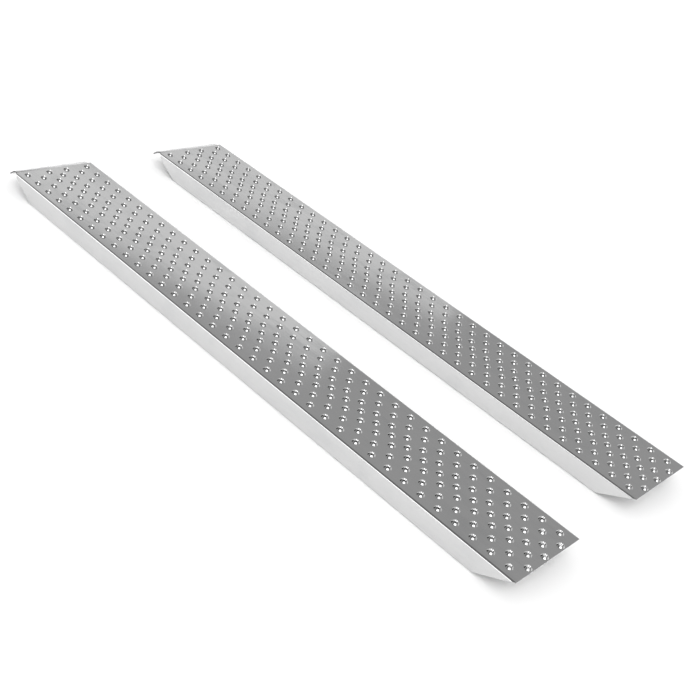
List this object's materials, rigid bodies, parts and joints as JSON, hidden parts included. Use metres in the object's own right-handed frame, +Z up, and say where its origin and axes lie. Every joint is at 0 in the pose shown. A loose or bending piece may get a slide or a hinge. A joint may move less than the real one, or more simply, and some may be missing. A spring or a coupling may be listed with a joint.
{
  "type": "portable track ramp pair",
  "caption": "Pair of straight steel track ramps with raised grip holes, folded side flanges, cross braces and a curled hook lip.",
  "frame": {"origin": "on the ground at the middle of the pair, under the centre of its bounding box", "axes": "+X along the ramps towards the foot end, +Y across the pair towards the right ramp (seen going up the ramps, -X, left is -Y), +Z up"},
  "size_m": [1.5296, 0.643, 0.0482],
  "materials": {
    "galvanised_sheet": "bright zinc, smooth with faint rolling streaks",
    "galvanised_plate": "satin zinc",
    "galvanised_brace": "satin zinc",
    "weld_metal": "zinc-sprayed weld bead"
  },
  "bodies": {
    "left_ramp": {"left_deck_channel": "galvanised_sheet", "left_hook_lip": "galvanised_plate", "left_hook_welds": "weld_metal", "left_brace_welds": "weld_metal", "left_cross_brace_1": "galvanised_brace", "left_cross_brace_2": "galvanised_brace", "left_cross_brace_3": "galvanised_brace", "left_cross_brace_4": "galvanised_brace", "left_cross_brace_5": "galvanised_brace"},
    "right_ramp": {"right_deck_channel": "galvanised_sheet", "right_hook_lip": "galvanised_plate", "right_hook_welds": "weld_metal", "right_brace_welds": "weld_metal", "right_cross_brace_1": "galvanised_brace", "right_cross_brace_2": "galvanised_brace", "right_cross_brace_3": "galvanised_brace", "right_cross_brace_4": "galvanised_brace", "right_cross_brace_5": "galvanised_brace"}
  },
  "joints": [
    {"name": "track_spacing", "type": "slide", "parent": "left_ramp", "child": "right_ramp", "axis": [0, 1, 0], "range_m": [-0.21, 0.372]}
  ]
}
